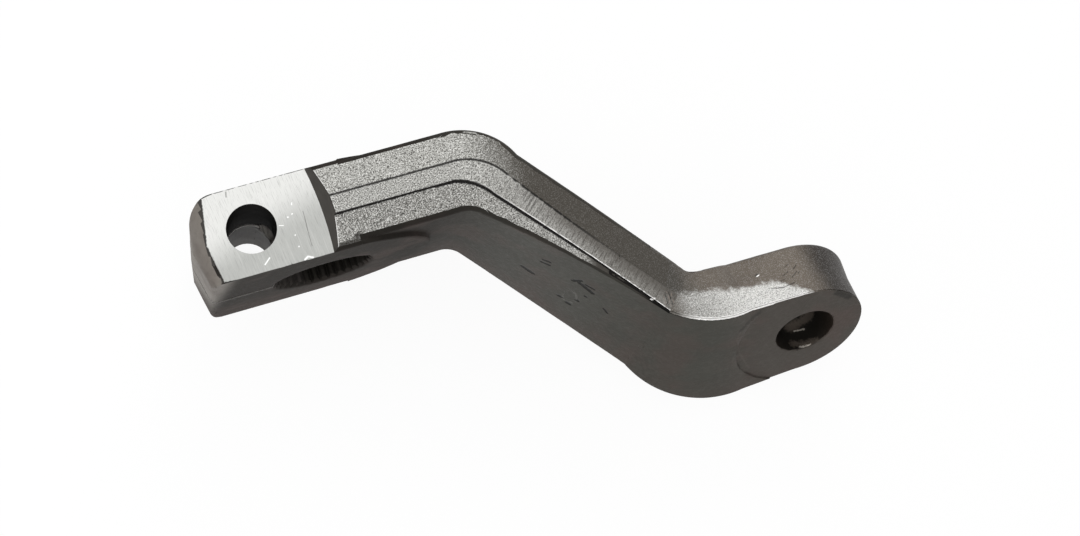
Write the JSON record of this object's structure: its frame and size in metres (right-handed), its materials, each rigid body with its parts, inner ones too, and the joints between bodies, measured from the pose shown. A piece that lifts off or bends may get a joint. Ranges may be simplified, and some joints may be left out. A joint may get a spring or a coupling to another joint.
{
  "type": "pitman arm",
  "caption": "Forged, twice bent steering arm with a splined clamping boss, a pinch-bolt hole and a tapered eye.",
  "frame": {"origin": "on the axis of the splined bore, 18.5 mm in from the boss's face on the side that the arm bends down to", "axes": "+X along the arm from the splined bore towards the eye, +Y along the bore, away from the side that the arm bends down to, +Z along the pinch bolt's hole, up"},
  "size_m": [0.2819, 0.1386, 0.098],
  "materials": {
    "forged_steel": "rough shot-blasted forged steel with bright milled pads and machined holes"
  },
  "bodies": {
    "root": {"pitman_arm": "forged_steel"}
  },
  "joints": []
}
